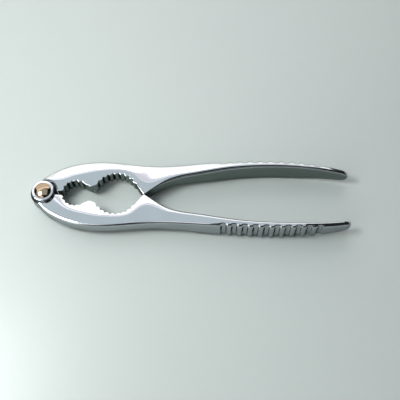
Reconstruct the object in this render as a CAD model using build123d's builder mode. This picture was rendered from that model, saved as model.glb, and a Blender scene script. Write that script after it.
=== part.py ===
"""Plier-type nutcracker: two identical die-cast levers on one riveted pivot.

Millimetres. The origin lies on the pivot axis, in the plane that the tool rests on.
+X runs from the pivot to the handle tips, +Y across the tool and +Z up out of that plane.
The back lever lies on the +Y side with its eye in the lower half of the lap joint. The
front lever is the same casting turned over about the X direction.
"""

import os
from math import cos, radians, sin

from build123d import *

# Overall heights
MID_Z = 7.5  # parting plane of the lap joint, half the height of the handles
JAW_HALF = 4.3  # half the thickness of a jaw, along the soft ridge of its face
LAP_GAP = 0.1  # between the two lap faces
ROLL_R = 1.2  # rolled outer edges of the casting

# Pivot
EYE_R = 7.0
EYE_HALF = 4.0  # from the parting plane to the outer face of the eye
BOSS_R = 6.05
BOSS_HALF = 6.35  # from the parting plane to the face of the boss
CLEARANCE_R = 7.45  # round the eye of the other lever
HORN_X = -1.5  # blunt end of the horn that wraps round the other lever's eye
SHANK_R = 2.5
BORE_R = 2.55
HEAD_R = 4.5
HEAD_RIM = 0.25  # upright rim below the dome
HEAD_TOP = 15.3
TAIL_R = 4.1
TAIL_CHAMFER = 0.3
TAIL_GAP = 0.1  # running play between the tail and the back lever's boss

# Plan outline of the jaw, on the +Y side
FLANK_Y = 1.2  # straight flank between the pivot and the small recess
SMALL_CENTRE = (17.0, 0.4)
SMALL_ROOT_R = 7.3
SMALL_TIP_R = 6.5
SMALL_TEETH = 5
SMALL_START = 173.7  # degrees
SMALL_PITCH = 21.6
SMALL_END = (21.2, 5.9)  # where the plain wall before the cusp begins
CUSP = (24.85, 4.0)
STEP = (28.4, 5.3)  # where the plain wall behind the cusp ends
LARGE_CENTRE = (38.8, 0.3)
LARGE_ROOT_R = 12.15
LARGE_TIP_R = 11.2
LARGE_TEETH = 8
LARGE_START = 142.9
LARGE_PITCH = 14.1
LARGE_END = (50.3, 4.7)  # where the straight flank of the nose begins
NOSE = (54.0, 0.05)
NOSE_FRONT = (53.63, 0.21)
NOSE_BACK = (54.31, 0.16)
HANDLE_INNER = [(60, 4.0), (68, 8.1), (80, 10.9), (95, 13.5), (110, 15.5), (125, 16.2), (140, 15.9),
                (152, 15.0), (167, 12.9)]

# Grip ribs on the outer side of the handle
RIB_COUNT = 10
RIB_PITCH = 5.6
FIRST_CREST_X = 99.7
RIB_DEPTH = 1.2
GRIP_START = (94.0, 18.95)  # on the outer wall, just before the first groove
GRIP_TOP_X = 119.0  # where the outer line of the grip stands out furthest
GRIP_TOP_Y = 19.8
GRIP_RADIUS = 300.0
CREST_LAND = 0.1  # how far the crests of the cutter stand off the wall

# Cross-sections: x, inner y of the blank, y of the ridge, y of the outer wall, half height
STATIONS = [
    (-4.2, -1.0, 3.2, 5.65, 4.1),
    (2.0, -1.0, 7.6, 11.0, 4.2),
    (8.0, -1.0, 8.2, 14.5, JAW_HALF),
    (15.0, -1.0, 10.1, 17.1, JAW_HALF),
    (22.0, -1.0, 11.9, 18.6, JAW_HALF),
    (31.0, -1.0, 13.6, 19.2, JAW_HALF),
    (40.0, -1.0, 14.1, 18.75, JAW_HALF),
    (46.0, -1.0, 12.7, 18.1, JAW_HALF),
    (50.0, -1.0, 10.0, 17.7, JAW_HALF),
    (54.0, -1.0, 6.8, 17.35, JAW_HALF),
    (60.0, -1.0, 7.2, 17.05, 4.55),
    (68.0, 4.0, 10.4, 17.1, 5.1),
    (80.0, 9.0, 12.3, 17.85, 6.15),
    (95.0, 12.2, 14.4, 18.85, 7.2),
    (108.0, 14.0, 15.7, 19.45, 7.5),
    (118.0, 14.9, 16.4, 19.8, 7.5),
    (128.0, 15.2, 16.6, 19.7, 7.5),
    (138.0, 14.9, 16.4, 19.25, 7.0),
    (147.0, 14.3, 16.0, 18.5, 6.1),
    (154.0, 13.8, 15.5, 17.65, 5.1),
    (159.5, 13.4, 14.9, 16.75, 4.0),
    (163.0, 13.4, 14.3, 15.7, 2.4),
    (164.2, 13.7, 14.2, 15.0, 1.0),
]
INNER_SLOPE = 0.11  # fall of the face from the ridge to the teeth
OUTER_SLOPE = 0.08  # fall of the face from the ridge to the outer wall

ABOVE = 20.0  # reach of the cutters past the casting
OUTSIDE_Y = GRIP_TOP_Y + 5.0


def around(centre, radius, degrees):
    """Point on a circle."""
    return (centre[0] + radius * cos(radians(degrees)), centre[1] + radius * sin(radians(degrees)))


def grip_y(x):
    """Outer line of the grip, a shallow arc that the rib crests touch."""
    return GRIP_TOP_Y - (x - GRIP_TOP_X) ** 2 / (2 * GRIP_RADIUS)


def section(inner_y, ridge_y, outer_y, half):
    """Upper points of a roof-shaped cross-section, from the inner wall over the ridge to the outer wall."""
    inner_half = half - INNER_SLOPE * (ridge_y - inner_y)
    outer_half = half - OUTER_SLOPE * (outer_y - ridge_y)
    roll = min(ROLL_R, 0.45 * outer_half, 0.8 * (outer_y - ridge_y))
    return [
        (inner_y, inner_half),
        (ridge_y, half),
        (outer_y - roll, outer_half),
        (outer_y - roll * (1 - cos(radians(45))), outer_half - roll * (1 - sin(radians(45)))),
        (outer_y, outer_half - roll),
    ]


def teeth(centre, root_r, tip_r, start, pitch, count):
    """Row of rounded teeth with V-shaped valleys along a round recess. Returns its last point."""
    for number in range(count):
        angle = start - number * pitch
        ThreePointArc(
            around(centre, root_r, angle),
            around(centre, tip_r, angle - pitch / 2),
            around(centre, root_r, angle - pitch),
        )
    return around(centre, root_r, start - count * pitch)


with BuildPart() as back_lever:
    # Blank of the casting
    for x, inner_y, ridge_y, outer_y, half in STATIONS:
        upper = section(inner_y, ridge_y, outer_y, half)
        lower = [(y, -z) for y, z in upper]
        with BuildSketch(Plane(origin=(x, 0, MID_Z), x_dir=(0, 1, 0), z_dir=(1, 0, 0))):
            with BuildLine():
                Line(lower[0], upper[0])
                Line(upper[0], upper[1])
                Line(upper[1], upper[2])
                ThreePointArc(*upper[2:])
                Line(upper[4], lower[4])
                ThreePointArc(*reversed(lower[2:]))
                Line(lower[2], lower[1])
                Line(lower[1], lower[0])
            make_face()
    loft()

    # Jaw with its two toothed recesses, nose and the inner side of the handle
    with BuildSketch(Plane.XY.offset(MID_Z)):
        with BuildLine():
            small_first = around(SMALL_CENTRE, SMALL_ROOT_R, SMALL_START)
            Polyline((-ABOVE, -ABOVE), (-ABOVE, FLANK_Y), small_first)
            small_last = teeth(SMALL_CENTRE, SMALL_ROOT_R, SMALL_TIP_R, SMALL_START, SMALL_PITCH, SMALL_TEETH)
            large_first = around(LARGE_CENTRE, LARGE_ROOT_R, LARGE_START)
            Polyline(small_last, SMALL_END, CUSP, STEP, large_first)
            large_last = teeth(LARGE_CENTRE, LARGE_ROOT_R, LARGE_TIP_R, LARGE_START, LARGE_PITCH, LARGE_TEETH)
            Polyline(large_last, LARGE_END, NOSE_FRONT)
            ThreePointArc(NOSE_FRONT, NOSE, NOSE_BACK)
            inner_edge = Spline(NOSE_BACK, *HANDLE_INNER)
            Polyline(inner_edge @ 1, (HANDLE_INNER[-1][0], -ABOVE), (-ABOVE, -ABOVE))
        make_face()
    extrude(amount=ABOVE, both=True, mode=Mode.SUBTRACT)

    # Grooves between the grip ribs
    with BuildSketch(Plane.XY.offset(MID_Z)):
        with BuildLine():
            wave = [GRIP_START]
            for number in range(RIB_COUNT):
                crest_x = FIRST_CREST_X + number * RIB_PITCH
                groove_x = crest_x - RIB_PITCH / 2
                wave.append((groove_x, grip_y(groove_x) - RIB_DEPTH))
                wave.append((crest_x, grip_y(crest_x) + CREST_LAND))
            ribs = Spline(wave)
            Polyline(ribs @ 1, (wave[-1][0], OUTSIDE_Y), (wave[0][0], OUTSIDE_Y), ribs @ 0)
        make_face()
    extrude(amount=ABOVE, both=True, mode=Mode.SUBTRACT)

    # Room for the eye of the other lever, above the lap face
    with BuildSketch(Plane.XY.offset(MID_Z - LAP_GAP / 2)):
        Circle(CLEARANCE_R)
        with Locations((HORN_X, 0)):
            Rectangle(ABOVE, 2 * ABOVE, align=(Align.MAX, Align.CENTER))
    extrude(amount=ABOVE, mode=Mode.SUBTRACT)

    # Eye and its raised boss, below the lap face
    with BuildSketch(Plane.XZ):
        with BuildLine():
            FilletPolyline(
                (0, MID_Z - LAP_GAP / 2),
                (EYE_R, MID_Z - LAP_GAP / 2),
                (EYE_R, MID_Z - EYE_HALF),
                (BOSS_R, MID_Z - EYE_HALF),
                (BOSS_R, MID_Z - BOSS_HALF),
                (0, MID_Z - BOSS_HALF),
                radius=(0, 0.4, 0.3, 0.5),
            )
            Line((0, MID_Z - BOSS_HALF), (0, MID_Z - LAP_GAP / 2))
        make_face()
    revolve(axis=Axis.Z)

    # Bore for the rivet
    with BuildSketch(Plane.XY):
        Circle(BORE_R)
    extrude(amount=MID_Z, mode=Mode.SUBTRACT)

with BuildPart() as front_lever:
    # The same casting turned over
    add(back_lever.part.rotate(Axis((0, 0, MID_Z), (1, 0, 0)), 180))

with BuildPart() as pivot_rivet:
    # Domed head on the front lever's boss, shank, and the flat tail that was formed under the back one
    head_seat = MID_Z + BOSS_HALF
    tail_seat = MID_Z - BOSS_HALF - TAIL_GAP
    dome_height = HEAD_TOP - head_seat - HEAD_RIM
    dome_radius = (HEAD_R**2 + dome_height**2) / (2 * dome_height)
    with BuildSketch(Plane.XZ):
        with BuildLine():
            Polyline(
                (0, HEAD_TOP),
                (0, 0),
                (TAIL_R - TAIL_CHAMFER, 0),
                (TAIL_R, TAIL_CHAMFER),
                (TAIL_R, tail_seat),
                (SHANK_R, tail_seat),
                (SHANK_R, head_seat),
                (HEAD_R, head_seat),
                (HEAD_R, head_seat + HEAD_RIM),
            )
            RadiusArc((HEAD_R, head_seat + HEAD_RIM), (0, HEAD_TOP), -dome_radius)
        make_face()
    revolve(axis=Axis.Z)

os.makedirs("parts", exist_ok=True)
back_lever.part.label = "back_lever"
front_lever.part.label = "front_lever"
pivot_rivet.part.label = "pivot_rivet"
export_step(back_lever.part, "parts/back_lever.step")
export_step(front_lever.part, "parts/front_lever.step")
export_step(pivot_rivet.part, "parts/pivot_rivet.step")
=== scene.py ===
"""Looks of the plier-type nutcracker: two chrome-plated castings and their rivet, on a pale table.

The castings are worked out in millimetres in the part's own frame: origin on the pivot axis at
the plane that the tool rests on, +X to the handle tips, +Y to the back lever, +Z up. Heights in
a casting are counted from the parting plane of its lap joint, and meshes are made in metres.
"""

import itertools
import math

import bmesh
import bpy
import numpy as np
from mathutils import Matrix, Vector


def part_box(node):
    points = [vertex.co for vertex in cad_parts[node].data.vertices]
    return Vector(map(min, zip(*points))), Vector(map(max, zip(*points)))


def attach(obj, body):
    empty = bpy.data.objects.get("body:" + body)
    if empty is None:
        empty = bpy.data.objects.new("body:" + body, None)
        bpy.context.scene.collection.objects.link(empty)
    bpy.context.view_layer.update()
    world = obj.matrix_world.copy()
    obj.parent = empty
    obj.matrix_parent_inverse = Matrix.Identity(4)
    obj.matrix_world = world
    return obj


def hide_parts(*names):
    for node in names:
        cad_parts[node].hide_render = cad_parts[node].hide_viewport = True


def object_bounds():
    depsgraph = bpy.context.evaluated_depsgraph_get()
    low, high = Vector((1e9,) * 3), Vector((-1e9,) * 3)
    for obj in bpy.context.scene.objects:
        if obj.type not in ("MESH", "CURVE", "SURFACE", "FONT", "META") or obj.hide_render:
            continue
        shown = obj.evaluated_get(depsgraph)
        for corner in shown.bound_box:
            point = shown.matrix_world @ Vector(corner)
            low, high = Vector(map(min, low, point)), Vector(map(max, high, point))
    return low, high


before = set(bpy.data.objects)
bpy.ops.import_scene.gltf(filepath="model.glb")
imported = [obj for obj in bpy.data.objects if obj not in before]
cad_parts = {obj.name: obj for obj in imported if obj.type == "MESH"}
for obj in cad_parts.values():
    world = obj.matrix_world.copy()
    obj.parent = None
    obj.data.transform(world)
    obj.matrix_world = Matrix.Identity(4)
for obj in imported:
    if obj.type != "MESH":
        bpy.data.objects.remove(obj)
cad_low, cad_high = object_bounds()

# Sizes that the frame gives
MM = 0.001
lever_low, lever_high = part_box("back_lever")
rivet_low, rivet_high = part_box("pivot_rivet")
TIP_X = lever_high.x / MM
EYE_R = -lever_low.x / MM
MID_Z = (lever_low.z + lever_high.z) / 2 / MM
RIVET_TOP = rivet_high.z / MM
HEAD_R = rivet_high.x / MM

# Lap joint and pivot
LAP_HALF_GAP = 0.05
EYE_HALF = 3.99
EYE_ROLL = 0.8
BOSS_R = 6.05
BOSS_HALF = 6.35
BOSS_EDGE = 0.55
BOSS_FOOT = 0.35
BORE_R = 2.55
CLEARANCE_R = 7.45
HORN_X = -1.5
SHANK_R = 2.5
TAIL_R = 4.1
TAIL_GAP = 0.1
HEAD_RIM = 0.25
TURN_STEPS = 128

# Edges of the casting: the radii of its rolled edges, where they change, and the roof of its faces
OUTER_ROLL = 1.45
GRIP_ROLL = 1.0
INNER_ROLL = 0.3
HANDLE_INNER_ROLL = 1.7
INNER_ROLL_GROWS = (56.0, 68.0)
OUTER_ROLL_SHRINKS = (90.0, 95.0)
RIDGE_SOFT = 1.3
INNER_SLOPE = 0.12

# Toothed recesses, on the +Y side
FLANK_Y = 1.2
FLANK_START_X = 4.0
SMALL = {"centre": (17.0, 0.4), "root": 7.3, "tip": 6.5, "start": 173.7, "pitch": 21.6, "teeth": 5}
LARGE = {"centre": (38.8, 0.3), "root": 12.15, "tip": 11.2, "start": 142.9, "pitch": 14.1, "teeth": 8}
SMALL_END = (21.2, 5.9)
CUSP = (24.85, 4.0)
STEP = (28.4, 5.3)
LARGE_END = (50.3, 4.7)
NOSE_CENTRE = (54.0, 0.55)
NOSE_R = 0.5
NOSE_FRONT_ANGLE = 222.0
NOSE_BACK_ANGLE = 308.0

# Grip ribs
RIB_COUNT = 10
RIB_PITCH = 5.6
FIRST_CREST_X = 99.7
RIB_DEPTH = 1.15
RIB_SOFT = 0.15  # near 0 the flanks are steep between flat crests and grooves

# Handle's tip: lengths over which the outer roll thins, the columns close up, and the height and
# the width run out
TIP_TAPER = 14.0
TIP_FINE = 5.0
TIP_RUN_HEIGHT = 4.0
TIP_RUN_WIDTH = 1.8
HANDLE_START_X = 62.0


def smooth(*points):
    """Natural cubic spline y(x) through a few points."""
    x, y = np.array(points, float).T
    h = np.diff(x)
    rows, right = np.eye(len(x)), np.zeros(len(x))
    for i in range(1, len(x) - 1):
        rows[i, i - 1 : i + 2] = h[i - 1], 2 * (h[i - 1] + h[i]), h[i]
        right[i] = 6 * ((y[i + 1] - y[i]) / h[i] - (y[i] - y[i - 1]) / h[i - 1])
    bend = np.linalg.solve(rows, right)

    def at(q):
        q = np.clip(np.asarray(q, float), x[0], x[-1])
        i = np.clip(np.searchsorted(x, q) - 1, 0, len(x) - 2)
        after, before = x[i + 1] - q, q - x[i]
        curved = (bend[i] * after**3 + bend[i + 1] * before**3) / (6 * h[i])
        return (
            curved
            + (y[i] / h[i] - bend[i] * h[i] / 6) * after
            + (y[i + 1] / h[i] - bend[i + 1] * h[i] / 6) * before
        )

    return at


# Plan lines and heights of a casting along X
outer_edge = smooth(
    (-4.9, 5.0), (-1.0, 8.5), (2.4, 11.35), (6.0, 13.5), (10.0, 15.4), (15.0, 17.1), (20.0, 18.25),
    (26.0, 19.0), (31.0, 19.2), (38.0, 18.9), (50.0, 17.7), (62.0, 17.0), (75.0, 17.45),
    (88.0, 18.45), (99.0, 19.1), (110.0, 19.6), (120.0, 19.78), (130.0, 19.6), (140.0, 19.05),
    (150.0, 18.1), (157.0, 17.05), (164.2, 15.5),
)
handle_inner = smooth(
    (54.31, 0.16), (57.0, 2.1), (60.0, 4.0), (64.0, 6.4), (68.0, 8.1), (74.0, 9.9), (80.0, 10.95),
    (95.0, 13.55), (110.0, 15.5), (125.0, 16.2), (140.0, 15.9), (152.0, 15.0), (164.2, 13.3),
)
RIDGE_PAST_JOINT = (
    (20.0, 11.4), (26.5, 12.9), (32.0, 13.75), (37.5, 14.1), (42.5, 13.9), (46.0, 12.8),
    (49.5, 10.4), (52.5, 7.6), (55.5, 6.1), (59.0, 6.7), (65.0, 9.5), (71.0, 11.1), (80.0, 12.0),
    (95.0, 14.3), (110.0, 16.0), (125.0, 16.7), (140.0, 16.4), (152.0, 15.5), (164.2, 14.1),
)
ridge_by_horn = smooth(
    (-4.9, 7.2), (-1.0, 7.7), (2.7, 8.0), (7.1, 7.6), (10.5, 8.3), (14.5, 9.9), *RIDGE_PAST_JOINT
)
ridge_by_boss = smooth(
    (-4.9, -3.0), (2.0, 0.0), (6.1, 3.0), (9.7, 6.65), (14.5, 9.7), *RIDGE_PAST_JOINT
)
ridge_half = smooth(
    (-4.9, 4.1), (6.0, 4.25), (15.0, 4.3), (35.0, 4.3), (56.0, 4.35), (66.0, 4.9), (75.0, 5.65),
    (84.0, 6.4), (92.0, 7.0), (100.0, 7.36), (109.0, 7.49), (119.0, 7.49), (129.0, 7.4),
    (138.0, 7.0), (147.0, 6.15), (154.0, 5.3), (159.0, 4.6), (164.2, 3.8),
)
edge_drop = smooth(
    (-4.9, 0.3), (8.0, 0.4), (30.0, 0.4), (60.0, 0.45), (80.0, 0.45), (100.0, 0.45), (164.2, 0.4)
)


def grown(x, first, last):
    """Share that goes from 0 at the first X to 1 at the last."""
    return np.clip((x - first) / (last - first), 0, 1)


def run_out(x, run):
    """Quarter-ellipse that takes a size to nothing at the tip."""
    past = np.clip((x - (TIP_X - run)) / run, 0, 1)
    return np.sqrt(np.maximum(1 - past**2, 1e-4))


def ribs(x):
    """How far the grooves between the ribs go in from the outer edge."""
    first, last = FIRST_CREST_X - RIB_PITCH, FIRST_CREST_X + (RIB_COUNT - 1) * RIB_PITCH
    turn = np.cos(2 * math.pi * (x - FIRST_CREST_X) / RIB_PITCH)
    wave = turn * np.sqrt((1 + RIB_SOFT) / (turn**2 + RIB_SOFT))
    return np.where((x > first) & (x < last), RIB_DEPTH * (1 - wave) / 2, 0.0)


def face_height(x, y, ridge):
    """Height of the roof-shaped face over the parting plane: a soft ridge, falling both ways."""
    ridge_y = ridge(x)
    lean = (ridge(x + 0.1) - ridge(x - 0.1)) / 0.2
    side = (y - ridge_y) / np.sqrt(1 + lean**2)
    outward = edge_drop(x) / np.maximum(outer_edge(x) - OUTER_ROLL - ridge_y, 1.5)
    outward = outward * np.sqrt(1 + lean**2)
    level = (outward - INNER_SLOPE) / 2 * side
    roof = (outward + INNER_SLOPE) / 2 * (np.sqrt(side**2 + RIDGE_SOFT**2) - RIDGE_SOFT)
    return (ridge_half(x) - level - roof) * run_out(x, TIP_RUN_HEIGHT)


def between(a, b, count):
    """Points on a straight stretch, without its last one."""
    share = np.arange(count)[:, None] / count
    return np.array(a) * (1 - share) + np.array(b) * share


def around(centre, radius, degrees):
    """Points on a circle."""
    turn = np.radians(degrees)
    return np.stack([centre[0] + radius * np.cos(turn), centre[1] + radius * np.sin(turn)], axis=-1)


def toothed(recess, steps):
    """Rounded teeth with V-shaped valleys along a round recess."""
    along = np.arange(recess["teeth"] * steps) / steps
    radius = recess["root"] - (recess["root"] - recess["tip"]) * np.abs(np.sin(math.pi * along))
    return around(recess["centre"], radius, recess["start"] - along * recess["pitch"])


def end_of(recess):
    """Valley after the last tooth."""
    degrees = recess["start"] - recess["teeth"] * recess["pitch"]
    return around(recess["centre"], recess["root"], degrees)


def plan_columns():
    """Inner and outer points of every cross-section, in plan, from the pivot to the tip."""
    small_first = around(SMALL["centre"], SMALL["root"], SMALL["start"])
    large_first = around(LARGE["centre"], LARGE["root"], LARGE["start"])
    nose_front = around(NOSE_CENTRE, NOSE_R, NOSE_FRONT_ANGLE)
    nose_turn = np.linspace(NOSE_FRONT_ANGLE, NOSE_BACK_ANGLE, 8)[:-1]
    nose_back = around(NOSE_CENTRE, NOSE_R, NOSE_BACK_ANGLE)
    stretches = [  # inner points, and the X where the outer edge begins for them
        (between((FLANK_START_X, FLANK_Y), small_first, 16), -4.6),
        (toothed(SMALL, 12), 2.0),
        (between(end_of(SMALL), SMALL_END, 4), 19.6),
        (between(SMALL_END, CUSP, 9), 21.0),
        (between(CUSP, STEP, 9), 25.2),
        (between(STEP, large_first, 5), 28.0),
        (toothed(LARGE, 14), 29.2),
        (between(end_of(LARGE), LARGE_END, 4), 48.8),
        (between(LARGE_END, nose_front, 14), 50.4),
        (around(NOSE_CENTRE, NOSE_R, nose_turn), 53.9),
    ]
    starts = [start for _, start in stretches] + [55.3]
    inner, outer_x = [], []
    for (points, start), after in zip(stretches, starts[1:]):
        inner.append(points)
        outer_x.append(start + (after - start) * np.arange(len(points)) / len(points))
    neck = np.arange(18) / 18
    neck_x = nose_back[0] + (HANDLE_START_X - nose_back[0]) * neck
    inner.append(np.stack([neck_x, handle_inner(neck_x)], axis=-1))
    outer_x.append(starts[-1] + (HANDLE_START_X - starts[-1]) * neck)
    fine_x = TIP_X - TIP_FINE
    handle_x = np.concatenate([
        np.arange(HANDLE_START_X, fine_x, 0.4),
        fine_x + TIP_FINE * np.sin(np.linspace(0, math.pi / 2, 22)),
    ])
    handle_x[-1] -= 0.002  # keeps the last column inside the CAD part's box
    inner.append(np.stack([handle_x, handle_inner(handle_x)], axis=-1))
    outer_x.append(handle_x)
    inner, outer_x = np.concatenate(inner), np.concatenate(outer_x)
    outer = np.stack([outer_x, outer_edge(outer_x) - ribs(outer_x)], axis=-1)
    middle = (inner + outer) / 2
    width = run_out(inner[:, 0], TIP_RUN_WIDTH)[:, None]
    return middle + (inner - middle) * width, middle + (outer - middle) * width


def inward(line, side):
    """Unit normals of a plan line, on the side of the metal."""
    step = np.gradient(line, axis=0)
    normal = np.stack([-step[:, 1], step[:, 0]], axis=-1) * side
    return normal / np.maximum(np.linalg.norm(normal, axis=1), 1e-9)[:, None]


def half_rings(ridge):
    """Points of the cross-sections' upper halves: columns by points by (x, y, height)."""
    inner, outer = plan_columns()
    inner_normal, outer_normal = inward(inner, 1), inward(outer, -1)
    width = np.linalg.norm(outer - inner, axis=1)
    tall = face_height((inner[:, 0] + outer[:, 0]) / 2, (inner[:, 1] + outer[:, 1]) / 2, ridge)
    grooves = ribs(outer[:, 0])
    on_handle = grown(inner[:, 0], *INNER_ROLL_GROWS)
    small_roll = INNER_ROLL + (HANDLE_INNER_ROLL - INNER_ROLL) * on_handle
    small_roll = np.minimum(small_roll, np.minimum(0.36 * (width + grooves), 0.4 * tall))
    in_grip = grown(outer[:, 0], *OUTER_ROLL_SHRINKS)
    roll = OUTER_ROLL + (GRIP_ROLL + RIB_DEPTH - grooves - OUTER_ROLL) * in_grip
    near_tip = grown(outer[:, 0], TIP_X - TIP_TAPER, TIP_X - TIP_TAPER / 2)
    roll = roll * (1 - 0.5 * near_tip)
    roll = np.minimum(roll, np.minimum(0.4 * width, 0.6 * tall))

    def at(plan, height):
        return np.concatenate([plan, np.broadcast_to(height, len(plan))[:, None]], axis=1)

    inner_top = inner + inner_normal * small_roll[:, None]
    inner_height = face_height(inner_top[:, 0], inner_top[:, 1], ridge)
    lean = np.arctan(edge_drop(outer[:, 0]) / np.maximum(width, 4.0))
    outer_top = outer + outer_normal * (roll * (1 - np.sin(lean)))[:, None]
    outer_height = face_height(outer_top[:, 0], outer_top[:, 1], ridge)
    roll_height = outer_height - roll * np.cos(lean)

    points = []
    for share in (0.0, 0.5):
        points.append(at(inner, share * (inner_height - small_roll)))
    for turn in np.radians((0, 15, 30, 45, 60, 75)):
        plan = inner + inner_normal * (small_roll * (1 - np.cos(turn)))[:, None]
        points.append(at(plan, inner_height - small_roll * (1 - np.sin(turn))))
    for share in np.linspace(0, 1, 22):
        plan = inner_top + (outer_top - inner_top) * share
        points.append(at(plan, face_height(plan[:, 0], plan[:, 1], ridge)))
    for share in np.linspace(0, 1, 9)[1:]:
        turn = (math.pi / 2 - lean) * (1 - share)
        plan = outer + outer_normal * (roll * (1 - np.cos(turn)))[:, None]
        points.append(at(plan, roll_height + roll * np.sin(turn)))
    points.append(at(outer, 0.5 * roll_height))
    points.append(at(outer, 0.0))
    return np.stack(points, axis=1)


def mesh_object(name, verts, faces, materials=(), second=()):
    """Closed mesh from points in millimetres, its height counted from the parting plane.

    Its faces have the first material, and those whose numbers are in second have the second.
    """
    mesh = bpy.data.meshes.new(name)
    placed = [(x * MM, y * MM, (z + MID_Z) * MM) for x, y, z in verts]
    mesh.from_pydata(placed, [], faces)
    for material in materials:
        mesh.materials.append(material)
    for number in second:
        mesh.polygons[number].material_index = 1
    build = bmesh.new()
    build.from_mesh(mesh)
    bmesh.ops.remove_doubles(build, verts=build.verts, dist=1e-7)
    bmesh.ops.recalc_face_normals(build, faces=build.faces)
    build.to_mesh(mesh)
    build.free()
    piece = bpy.data.objects.new(name, mesh)
    bpy.context.scene.collection.objects.link(piece)
    return piece


def body_of_lever(name, outside, inside):
    """Whole-thickness jaw and handle: rings of the horn side above and the boss side below."""
    above, below = half_rings(ridge_by_horn), half_rings(ridge_by_boss)
    below = below[:, -2:0:-1] * np.array([1, 1, -1])
    rings = np.concatenate([above, below], axis=1)
    columns, around_count = rings.shape[:2]
    faces, inner_wall = [], []  # the inner wall is the first and last bands of every ring
    for i in range(columns - 1):
        for j in range(around_count):
            after = (j + 1) % around_count
            low, high = i * around_count, (i + 1) * around_count
            if j < 2 or j >= around_count - 2:
                inner_wall.append(len(faces))
            faces.append((low + j, low + after, high + after, high + j))
    faces.append(tuple(range(around_count))[::-1])
    faces.append(tuple(range((columns - 1) * around_count, columns * around_count)))
    # inside is a darker, greener plate given to the inner wall's faces: painted shade for the shadowed
    # table they mirror near their foot
    return mesh_object(name, rings.reshape(-1, 3), faces, (outside, inside), inner_wall)


def arc(centre, radius, first, last, steps=6):
    """Rounded corner of a turned profile."""
    return [tuple(around(centre, radius, a)) for a in np.linspace(first, last, steps)]


def turned(name, profile, material, dark=None, dark_rows=()):
    """Closed solid of revolution about the pivot, from (radius, height) points.

    Its bands have the material, and those whose numbers are in dark_rows have the dark one.
    """
    verts, faces, rows, second = [], [], [], []
    for radius, height in profile:
        if radius < 1e-6:
            rows.append([len(verts)])
            verts.append((0, 0, height))
            continue
        rows.append(list(range(len(verts), len(verts) + TURN_STEPS)))
        for k in range(TURN_STEPS):
            turn = 2 * math.pi * k / TURN_STEPS
            verts.append((radius * math.cos(turn), radius * math.sin(turn), height))
    closed = rows + [rows[0]] if len(rows[0]) > 1 else rows
    for row, (low, high) in enumerate(zip(closed, closed[1:])):
        for k in range(TURN_STEPS):
            a, b = low[k % len(low)], low[(k + 1) % len(low)]
            c, d = high[(k + 1) % len(high)], high[k % len(high)]
            corners = list(dict.fromkeys((a, b, c, d)))
            if len(corners) > 2:
                if row in dark_rows:
                    second.append(len(faces))
                faces.append(corners)
    return mesh_object(name, verts, faces, (material, dark) if dark else (material,), second)


def eye_ring(outside, joint):
    """Bored eye with its raised boss, below the lap face."""
    foot, face = -EYE_HALF, -BOSS_HALF
    bevel = 0.15
    profile = [(BORE_R, -LAP_HALF_GAP), (EYE_R - bevel, -LAP_HALF_GAP), (EYE_R, -LAP_HALF_GAP - bevel)]
    profile += arc((EYE_R - EYE_ROLL, foot + EYE_ROLL), EYE_ROLL, 0, -75)
    profile += arc((BOSS_R + BOSS_FOOT * 0.55, foot - BOSS_FOOT), BOSS_FOOT, 60, 180)
    profile += arc((BOSS_R - BOSS_EDGE, face + BOSS_EDGE), BOSS_EDGE, 0, -90, 7)
    profile += [(BORE_R + 0.1, face), (BORE_R, face + 0.1)]
    # These bands take the near-black material: painted shade in the crevices round the pivot
    painted_shade_bands = (0, 1, *range(4, 13))  # bands of the lap face, and of the roll and foot round the boss
    return turned("eye", profile, outside, joint, painted_shade_bands)


def clearance_cutter(joint):
    """Room for the other lever's eye above the lap face, with a rolled mouth."""
    lip, top = 0.6, 3.75
    profile = [(0, -LAP_HALF_GAP), (CLEARANCE_R, -LAP_HALF_GAP), (CLEARANCE_R, top - lip)]
    profile += arc((CLEARANCE_R + lip, top - lip), lip, 180, 110, 6)[1:]
    profile += [(CLEARANCE_R + 1.4, 6.0), (0, 6.0)]
    return turned("clearance", profile, joint)


def horn_cutter(joint):
    """Block that ends the horn."""
    low, high = (-20.0, -1.0, -LAP_HALF_GAP), (HORN_X, 20.0, 8.0)
    verts = list(itertools.product(*zip(low, high)))
    faces = [(0, 1, 3, 2), (4, 6, 7, 5), (0, 4, 5, 1), (2, 3, 7, 6), (0, 2, 6, 4), (1, 5, 7, 3)]
    return mesh_object("horn_block", verts, faces, (joint,))


def combine(piece, other, operation):
    """Applies one boolean and deletes its tool."""
    modifier = piece.modifiers.new("combine", "BOOLEAN")
    modifier.operation = operation
    modifier.object = other
    modifier.solver = "MANIFOLD"
    depsgraph = bpy.context.evaluated_depsgraph_get()
    result = bpy.data.meshes.new_from_object(piece.evaluated_get(depsgraph))
    piece.modifiers.clear()
    piece.data = result
    bpy.data.objects.remove(other)


def finish_surface(piece, sharp_degrees=30.0):
    """Smooth shading that stays crisp along real edges."""
    sharp = math.radians(sharp_degrees)
    build = bmesh.new()
    build.from_mesh(piece.data)
    bmesh.ops.remove_doubles(build, verts=build.verts, dist=2e-6)
    bmesh.ops.dissolve_degenerate(build, edges=build.edges, dist=1e-7)
    for face in build.faces:
        face.smooth = True
    for edge in build.edges:
        edge.smooth = len(edge.link_faces) == 2 and edge.calc_face_angle(0.0) < sharp
    build.to_mesh(piece.data)
    build.free()


def make_back_lever(outside, inside, joint):
    """Jaw and handle, cut clear of the other lever's eye, with its own eye and boss."""
    lever = body_of_lever("back_casting", outside, inside)
    # joint is the near-black material, painted shade for the crevices round the pivot, carried by the
    # cutters and the eye's bands
    combine(lever, clearance_cutter(joint), "DIFFERENCE")
    combine(lever, horn_cutter(joint), "DIFFERENCE")
    combine(lever, eye_ring(outside, joint), "UNION")
    finish_surface(lever)
    return lever


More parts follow.
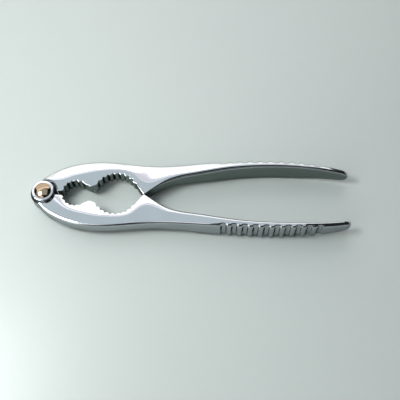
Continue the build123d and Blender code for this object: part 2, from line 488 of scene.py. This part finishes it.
def turned_over(piece, name):
    """The same casting, turned over about the X direction through the parting plane."""
    mesh = piece.data.copy()
    centre = Matrix.Translation((0, 0, MID_Z * MM))
    mesh.transform(centre @ Matrix.Rotation(math.pi, 4, "X") @ centre.inverted())
    over = bpy.data.objects.new(name, mesh)
    bpy.context.scene.collection.objects.link(over)
    return over


def make_rivet(metal):
    """Domed head, shank and the tail that was formed flat."""
    seat, top = BOSS_HALF, RIVET_TOP - MID_Z
    dome = top - seat - HEAD_RIM
    dome_r = (HEAD_R**2 + dome**2) / (2 * dome)
    reach = math.degrees(math.asin(HEAD_R / dome_r))
    tail_top = -BOSS_HALF - TAIL_GAP
    profile = [(0, -MID_Z), (TAIL_R - 1.0, -MID_Z), (TAIL_R - 0.8, -MID_Z + 0.04)]
    profile += arc((TAIL_R - 0.35, -MID_Z + 0.39), 0.35, -90, 0)
    profile += [(TAIL_R, tail_top - 0.1), (TAIL_R - 0.1, tail_top)]
    profile += [(SHANK_R, tail_top), (SHANK_R, seat)]
    profile += [(HEAD_R - 0.08, seat), (HEAD_R, seat + 0.08)]
    profile += [tuple(p) for p in around((0, top - dome_r), dome_r, np.linspace(90 - reach, 90, 20))]
    profile[-1] = (0, top)
    rivet = turned("rivet", profile, metal)
    finish_surface(rivet, 40.0)
    return rivet


# Materials


def shader(name):
    """New node material with its Principled shader."""
    material = bpy.data.materials.new(name)
    material.use_nodes = True
    nodes = material.node_tree.nodes
    return material, nodes, material.node_tree.links, nodes["Principled BSDF"]


def noise(nodes, scale, detail):
    """Noise texture."""
    texture = nodes.new("ShaderNodeTexNoise")
    texture.inputs["Scale"].default_value = scale
    texture.inputs["Detail"].default_value = detail
    return texture


def ranges(nodes, **limits):
    """Map Range node; an underscore in a limit's name stands for a space."""
    node = nodes.new("ShaderNodeMapRange")
    for limit, value in limits.items():
        node.inputs[limit.replace("_", " ")].default_value = value
    return node


def colours(nodes, **ends):
    """Mix of the colours A and B; one that isn't given is linked later."""
    node = nodes.new("ShaderNodeMix")
    node.data_type = "RGBA"
    for end, colour in ends.items():
        node.inputs[end].default_value = (*colour, 1.0)
    return node


def chrome(name, colour, roughness):
    """Bright chrome plate over a hand-polished casting: faint waviness, fine scratches, a few pits."""
    material, nodes, links, surface = shader(name)
    surface.inputs["Metallic"].default_value = 1.0
    surface.inputs["Specular Tint"].default_value = (0.3, 0.32, 0.32, 1.0)
    place = nodes.new("ShaderNodeTexCoord")

    waviness = noise(nodes, 90.0, 1.0)
    bump = nodes.new("ShaderNodeBump")
    bump.inputs["Strength"].default_value = 0.05
    bump.inputs["Distance"].default_value = 0.0004
    links.new(place.outputs["Object"], waviness.inputs["Vector"])
    links.new(waviness.outputs["Fac"], bump.inputs["Height"])
    links.new(bump.outputs["Normal"], surface.inputs["Normal"])

    stretch = nodes.new("ShaderNodeMapping")
    stretch.inputs["Scale"].default_value = (120.0, 2600.0, 2600.0)
    stretch.inputs["Rotation"].default_value = (0.0, 0.0, 0.35)
    scratches = noise(nodes, 1.0, 3.0)
    rough = ranges(nodes, From_Min=0.45, From_Max=0.8, To_Min=roughness, To_Max=roughness + 0.06)
    links.new(place.outputs["Object"], stretch.inputs["Vector"])
    links.new(stretch.outputs["Vector"], scratches.inputs["Vector"])
    links.new(scratches.outputs["Fac"], rough.inputs["Value"])
    links.new(rough.outputs["Result"], surface.inputs["Roughness"])

    tint = colours(nodes, A=colour, B=[c * 0.9 for c in colour])
    cells = nodes.new("ShaderNodeTexVoronoi")
    cells.inputs["Scale"].default_value = 140.0
    pit = ranges(nodes, From_Min=0.03, From_Max=0.055)
    pitted = colours(nodes, A=(0.03, 0.028, 0.026))
    links.new(waviness.outputs["Fac"], tint.inputs["Factor"])
    links.new(place.outputs["Object"], cells.inputs["Vector"])
    links.new(cells.outputs["Distance"], pit.inputs["Value"])
    links.new(pit.outputs["Result"], pitted.inputs["Factor"])
    links.new(tint.outputs["Result"], pitted.inputs["B"])
    links.new(pitted.outputs["Result"], surface.inputs["Base Color"])
    return material


def table_top():
    """Pale grey-green table with a soft gloss and a barely seen unevenness."""
    material, nodes, links, surface = shader("table")
    surface.inputs["Roughness"].default_value = 0.35
    place = nodes.new("ShaderNodeTexCoord")
    cloud = noise(nodes, 6.0, 4.0)
    tint = colours(nodes, A=(0.44, 0.475, 0.455), B=(0.47, 0.505, 0.485))
    links.new(place.outputs["Object"], cloud.inputs["Vector"])
    links.new(cloud.outputs["Fac"], tint.inputs["Factor"])
    links.new(tint.outputs["Result"], surface.inputs["Base Color"])
    return material


# Studio


def panel(name, centre, size, power, colour, target=(0.08, 0.0, 0.0)):
    """Soft rectangular light that looks at the tool."""
    light = bpy.data.lights.new(name, "AREA")
    light.shape = "RECTANGLE"
    light.size, light.size_y = size
    light.energy = power
    light.color = colour
    lamp = bpy.data.objects.new(name, light)
    lamp.location = centre
    lamp.rotation_euler = (Vector(target) - Vector(centre)).to_track_quat("-Z", "Y").to_euler()
    bpy.context.scene.collection.objects.link(lamp)


def make_floor():
    """Wide square table under the tool."""
    reach = 3.0
    corners = [(-reach, -reach), (reach, -reach), (reach, reach), (-reach, reach)]
    mesh = bpy.data.meshes.new("table")
    mesh.from_pydata([(x, y, cad_low.z) for x, y in corners], [], [(0, 1, 2, 3)])
    floor = bpy.data.objects.new("table", mesh)
    bpy.context.scene.collection.objects.link(floor)
    mesh.materials.append(table_top())


def make_camera():
    """Looks down over the front lever from a little past the middle of the tool."""
    data = bpy.data.cameras.new("camera")
    data.lens = 62.17
    data.sensor_width = 36.0
    camera = bpy.data.objects.new("camera", data)
    camera.location = (0.0920, -0.15854, 0.34502)
    camera.rotation_euler = (0.43646, 0.01251, 0.02347)
    bpy.context.scene.collection.objects.link(camera)
    bpy.context.scene.camera = camera


def make_world(colour, strength):
    """Dim room between the panels, which the plating mirrors as its dark lines."""
    world = bpy.data.worlds.new("studio")
    world.use_nodes = True
    background = world.node_tree.nodes["Background"]
    background.inputs["Color"].default_value = (*colour, 1.0)
    background.inputs["Strength"].default_value = strength
    bpy.context.scene.world = world


make_camera()
make_floor()
make_world((0.75, 0.8, 0.85), 0.03)

# Window past the back lever, mirrored white; ceiling, mirrored blue-grey; soft fill in front
panel("window", (-0.3, 1.25, 0.82), (2.4, 1.4), 16.0, (1.0, 0.995, 0.98))
panel("cornice", (-0.3, 0.83, 1.34), (2.4, 0.36), 3.1, (0.95, 0.92, 1.0))
panel("ceiling", (-0.6, 0.2, 1.5), (2.4, 1.16), 7.9, (0.84, 0.94, 1.0), (-0.6, 0.2, 0.0))
panel("lamp", (-0.2, -0.03, 0.42), (0.16, 0.16), 1.85, (0.95, 1.0, 0.99), (-0.05, 0.0, 0.0))
panel("side", (-0.72, -0.68, 0.55), (0.9, 0.6), 4.0, (0.97, 1.0, 1.0))
panel("overhead", (-0.5, -0.55, 1.3), (1.0, 0.45), 2.4, (0.95, 0.97, 1.0))
panel("far_wall", (0.5, -3.4, 0.8), (7.0, 1.5), 8.0, (0.9, 0.97, 1.0))

plate = chrome("chrome_plate", (0.57, 0.595, 0.61), 0.06)
# Inner walls: a darker, greener plate, painted shade standing in for the shadowed table mirrored near
# their foot
wall_shade_plate = chrome("wall_painted_shade", (0.24, 0.275, 0.26), 0.1)
# Near-black plate: painted shade for the lap face, the roll and foot round the boss, and the cutters'
# faces
pivot_shade_metal = chrome("pivot_shade_metal", (0.03, 0.03, 0.034), 0.35)
# Polished rivet whose warm brown base colour is a painted reflection of warm surroundings in its dome
rivet_reflection_tint = chrome("rivet_reflection_tint", (0.37, 0.28, 0.19), 0.06)

back = make_back_lever(plate, wall_shade_plate, pivot_shade_metal)
front = turned_over(back, "front_casting")
rivet = make_rivet(rivet_reflection_tint)
for piece, body, node, slot in (
    (back, "back", "back_lever", "plated_casting"),
    (front, "front", "front_lever", "plated_casting"),
    (rivet, "front", "pivot_rivet", "polished_rivet"),
):
    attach(piece, body)
    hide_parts(node)

bpy.context.scene.view_settings.view_transform = "Standard"
